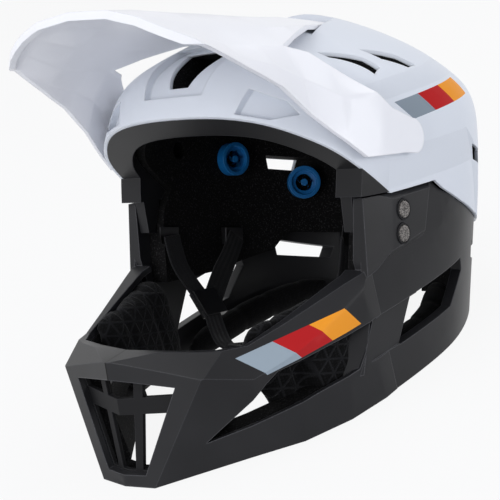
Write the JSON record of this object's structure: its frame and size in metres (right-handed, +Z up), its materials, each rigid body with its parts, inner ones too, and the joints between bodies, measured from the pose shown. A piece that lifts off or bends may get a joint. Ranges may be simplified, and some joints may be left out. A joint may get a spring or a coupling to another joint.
{
  "type": "convertible full face helmet",
  "caption": "Full face cycling helmet with a white visored crown that lifts off a black faceted chin bar, with press buttons beside the ears.",
  "frame": {"origin": "centre of the helmet's outline on the table it stands on", "axes": "+Z up from the table, -Y the way the face looks, +X the wearer's left"},
  "size_m": [0.2334, 0.3546, 0.27],
  "materials": {
    "white_shell": "satin white",
    "black_plastic": "satin black",
    "rim_plastic": "matte black",
    "foam": "matte black foam",
    "padding": "black knit",
    "blue_damping": "matte blue",
    "webbing": "woven black",
    "buckle_plastic": "satin black",
    "dark_metal": "dark brushed",
    "button_plastic": "satin dark grey"
  },
  "bodies": {
    "chin_bar": {"chin_bar_shell": "black_plastic", "chin_liner": "foam", "mouth_insert": "rim_plastic", "left_cheek_pad": "padding", "right_cheek_pad": "padding", "button_bezels": "rim_plastic"},
    "crown": {"outer_shell": "white_shell", "brow_rim": "rim_plastic", "impact_liner": "foam", "rear_lower_shell": "black_plastic", "rear_bumper": "rim_plastic", "brow_pad": "padding", "crown_pad": "padding", "side_pads": "padding", "turbine_pads": "blue_damping", "pivot_bushings": "buckle_plastic", "latch_rails": "dark_metal", "strap_anchors": "dark_metal", "left_strap": "webbing", "right_strap": "webbing", "strap_dividers": "buckle_plastic", "buckle_socket": "buckle_plastic", "buckle_plug": "buckle_plastic", "dial_yoke": "buckle_plastic"},
    "visor": {"visor": "white_shell", "pivot_studs": "dark_metal"},
    "fit_dial": {"fit_dial": "button_plastic", "drive_pinion": "buckle_plastic"},
    "left_band": {"left_band": "buckle_plastic"},
    "right_band": {"right_band": "buckle_plastic"},
    "left_upper_button": {"left_upper_button": "button_plastic"},
    "left_lower_button": {"left_lower_button": "button_plastic"},
    "right_upper_button": {"right_upper_button": "button_plastic"},
    "right_lower_button": {"right_lower_button": "button_plastic"}
  },
  "joints": [
    {"name": "crown_release", "type": "slide", "parent": "chin_bar", "child": "crown", "axis": [0, 0.3778, 0.9259], "range_m": [0, 0.07]},
    {"name": "visor_tilt", "type": "hinge", "parent": "crown", "child": "visor", "pos_m": [0, 0.01867, 0.14458], "axis": [1, 0, 0], "range_deg": [0, 10]},
    {"name": "dial_turn", "type": "hinge", "parent": "crown", "child": "fit_dial", "pos_m": [0, 0.11217, 0.02434], "axis": [0, 0.9259, -0.3778], "range_deg": [0, 57.3]},
    {"name": "left_band_slide", "type": "slide", "parent": "crown", "child": "left_band", "axis": [1, 0, 0], "range_m": [0, 0.00501]},
    {"name": "right_band_slide", "type": "slide", "parent": "crown", "child": "right_band", "axis": [-1, 0, 0], "range_m": [0, 0.00501]},
    {"name": "left_upper_press", "type": "slide", "parent": "chin_bar", "child": "left_upper_button", "axis": [-1, 0, 0], "range_m": [0, 0.0016], "stiffness_N_per_m": 800, "springref_m": -0.001},
    {"name": "left_lower_press", "type": "slide", "parent": "chin_bar", "child": "left_lower_button", "axis": [-1, 0, 0], "range_m": [0, 0.0016], "stiffness_N_per_m": 800, "springref_m": -0.001},
    {"name": "right_upper_press", "type": "slide", "parent": "chin_bar", "child": "right_upper_button", "axis": [1, 0, 0], "range_m": [0, 0.0016], "stiffness_N_per_m": 800, "springref_m": -0.001},
    {"name": "right_lower_press", "type": "slide", "parent": "chin_bar", "child": "right_lower_button", "axis": [1, 0, 0], "range_m": [0, 0.0016], "stiffness_N_per_m": 800, "springref_m": -0.001}
  ],
  "couplings": [
    {"joint": "left_band_slide", "follows": "dial_turn", "m_per_rad": 0.005},
    {"joint": "right_band_slide", "follows": "dial_turn", "m_per_rad": 0.005}
  ]
}
